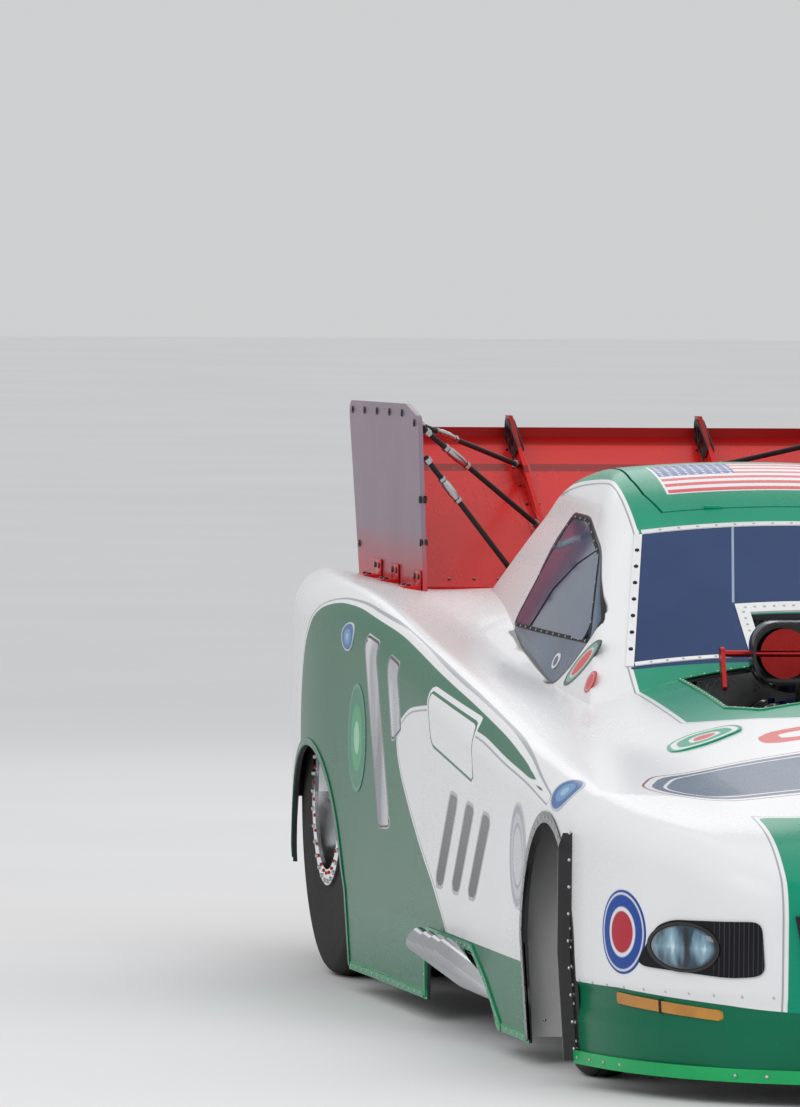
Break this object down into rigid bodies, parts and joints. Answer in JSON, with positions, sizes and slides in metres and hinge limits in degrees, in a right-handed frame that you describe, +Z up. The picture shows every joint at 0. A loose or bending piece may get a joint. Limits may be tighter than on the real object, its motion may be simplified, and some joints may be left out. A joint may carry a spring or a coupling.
{
  "type": "drag racing car",
  "caption": "Nitro drag racing car with a one-piece body that tilts up at the tail, open supercharged engine, tall rear spoiler, roof hatch and steered front wheels.",
  "frame": {"origin": "on the ground under the middle of the car's length and width", "axes": "+X to the car's left, +Y to its rear, +Z up; the nose points along -Y"},
  "size_m": [2.0646, 5.3857, 1.4419],
  "materials": {
    "painted_body": "gloss",
    "painted_red": "gloss",
    "tinted_glass": "gloss",
    "alloy": "satin",
    "chrome": "polished",
    "black_trim": "satin",
    "lamp": "gloss",
    "green_trim": "gloss",
    "frame_steel": "satin",
    "brake_steel": "satin",
    "tire_rubber": "matte",
    "belt_rubber": "matte",
    "fabric_pack": "matte",
    "seat_fabric": "matte"
  },
  "bodies": {
    "chassis": {"side_frames": "frame_steel", "cross_tubes": "frame_steel", "roll_cage": "frame_steel", "floor_panels": "alloy", "engine_block": "alloy", "cylinder_heads": "alloy", "valve_covers": "alloy", "supercharger": "alloy", "injector_scoop": "black_trim", "throttle_plates": "alloy", "drive_pulleys": "alloy", "drive_belt": "belt_rubber", "driveline": "frame_steel", "exhaust_headers": "chrome", "fuel_tank": "alloy", "driver_seat": "seat_fabric", "steering_yoke": "black_trim", "front_axle": "frame_steel", "rear_axle_housing": "frame_steel", "brake_calipers": "alloy", "wheelie_bar": "frame_steel", "parachute_tray": "alloy", "parachute_packs": "fabric_pack"},
    "body": {"body_shell": "painted_body", "windscreen": "tinted_glass", "side_windows": "tinted_glass", "screen_frame": "alloy", "rear_spoiler": "painted_red", "spoiler_end_plates": "painted_red", "spoiler_stays": "alloy", "headlamps": "lamp", "grille": "black_trim", "front_lip": "green_trim", "hinge_arms": "alloy"},
    "hatch": {"roof_hatch": "painted_body"},
    "left_knuckle": {"knuckle_left": "alloy"},
    "right_knuckle": {"knuckle_right": "alloy"},
    "tie_rod": {"tie_rod": "alloy"},
    "left_front_wheel": {"front_tire_left": "tire_rubber", "front_wheel_left": "alloy"},
    "right_front_wheel": {"front_tire_right": "tire_rubber", "front_wheel_right": "alloy"},
    "rear_wheel_set": {"rear_tires": "tire_rubber", "rear_wheels": "alloy"},
    "wheelie_wheel_pair": {"wheelie_wheels": "belt_rubber"}
  },
  "joints": [
    {"name": "body_tilt", "type": "hinge", "parent": "chassis", "child": "body", "pos_m": [0, 2.165, 0.45], "axis": [-1, 0, 0], "range_deg": [0, 30]},
    {"name": "roof_hatch_open", "type": "hinge", "parent": "body", "child": "hatch", "pos_m": [0, 0.2806, 1.231], "axis": [1, 0, 0], "range_deg": [0, 75]},
    {"name": "left_steering", "type": "hinge", "parent": "chassis", "child": "left_knuckle", "pos_m": [0.728, -1.735, 0.285], "axis": [0, 0, 1], "range_deg": [-11, 11]},
    {"name": "right_steering", "type": "hinge", "parent": "chassis", "child": "right_knuckle", "pos_m": [-0.728, -1.735, 0.285], "axis": [0, 0, 1], "range_deg": [-11, 11]},
    {"name": "tie_rod_pivot", "type": "hinge", "parent": "left_knuckle", "child": "tie_rod", "pos_m": [0.728, -1.585, 0.24], "axis": [0, 0, 1], "range_deg": [-11, 11]},
    {"name": "left_front_spin", "type": "hinge", "parent": "left_knuckle", "child": "left_front_wheel", "pos_m": [0.83, -1.735, 0.285], "axis": [1, 0, 0], "continuous": true},
    {"name": "right_front_spin", "type": "hinge", "parent": "right_knuckle", "child": "right_front_wheel", "pos_m": [-0.83, -1.735, 0.285], "axis": [1, 0, 0], "continuous": true},
    {"name": "rear_spin", "type": "hinge", "parent": "chassis", "child": "rear_wheel_set", "pos_m": [0, 1.44, 0.457], "axis": [1, 0, 0], "continuous": true},
    {"name": "wheelie_spin", "type": "hinge", "parent": "chassis", "child": "wheelie_wheel_pair", "pos_m": [0, 2.59, 0.094], "axis": [1, 0, 0], "continuous": true}
  ],
  "couplings": [
    {"joint": "right_steering", "follows": "left_steering", "ratio": 1},
    {"joint": "tie_rod_pivot", "follows": "left_steering", "ratio": -1}
  ]
}
